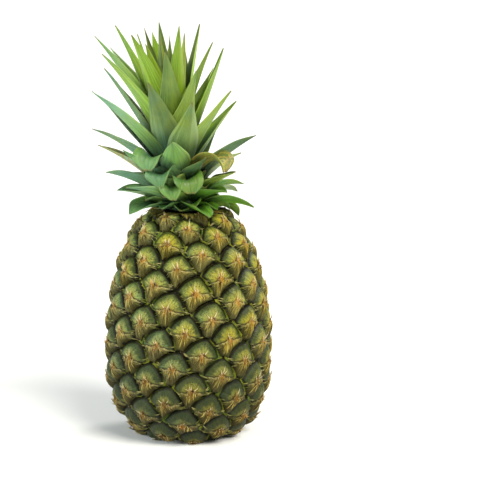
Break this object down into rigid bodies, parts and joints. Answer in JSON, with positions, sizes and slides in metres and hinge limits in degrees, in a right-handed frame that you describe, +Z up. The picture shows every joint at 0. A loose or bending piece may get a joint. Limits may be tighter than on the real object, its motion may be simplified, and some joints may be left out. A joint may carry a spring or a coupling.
{
  "type": "pineapple",
  "caption": "Whole ripe pineapple standing on its base: a barrel of domed eyes in spirals under a leafy crown, with the cut end of its stalk.",
  "frame": {"origin": "middle of the stalk's cut end, on the surface that the fruit stands on", "axes": "+Z up along the fruit's own axis, -Y towards the side that the picture shows, +X to the right of it"},
  "size_m": [0.1394, 0.1322, 0.322],
  "materials": {
    "fruit_skin": "satin",
    "crown_leaf": "satin",
    "cut_stalk": "matte"
  },
  "bodies": {
    "root": {"fruit": "fruit_skin", "stalk": "cut_stalk", "crown": "crown_leaf"}
  },
  "joints": []
}
